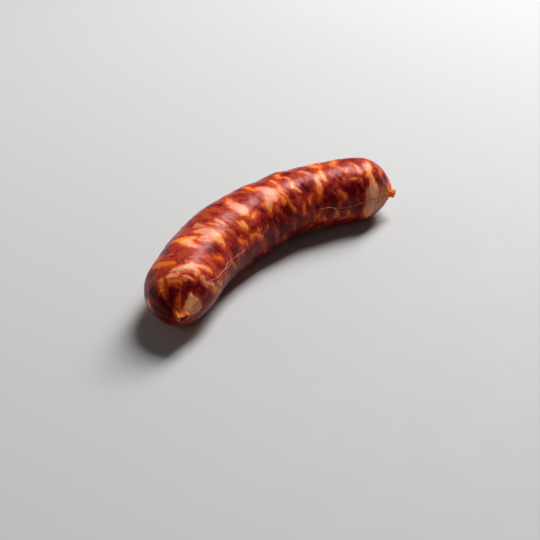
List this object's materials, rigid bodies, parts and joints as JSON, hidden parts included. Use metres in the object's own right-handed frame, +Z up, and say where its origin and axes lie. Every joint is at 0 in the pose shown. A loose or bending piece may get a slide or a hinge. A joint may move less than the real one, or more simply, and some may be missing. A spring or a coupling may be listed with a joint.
{
  "type": "smoked pork sausage",
  "caption": "Whole smoked pork sausage: a curved link of coarse spiced pork in a natural casing, with gathered and knotted ends, lying on its side as prepared food.",
  "frame": {"origin": "middle of the link's outline in plan, on the plane that it rests on", "axes": "+X from the rounder, near end to the tapered far end, +Y towards the outside of the bend, +Z up"},
  "size_m": [0.209, 0.066, 0.044],
  "materials": {
    "casing": "translucent natural casing, oily and glossy, over dark red cured pork marbled with orange-stained fat"
  },
  "bodies": {
    "root": {"sausage": "casing"}
  },
  "joints": []
}
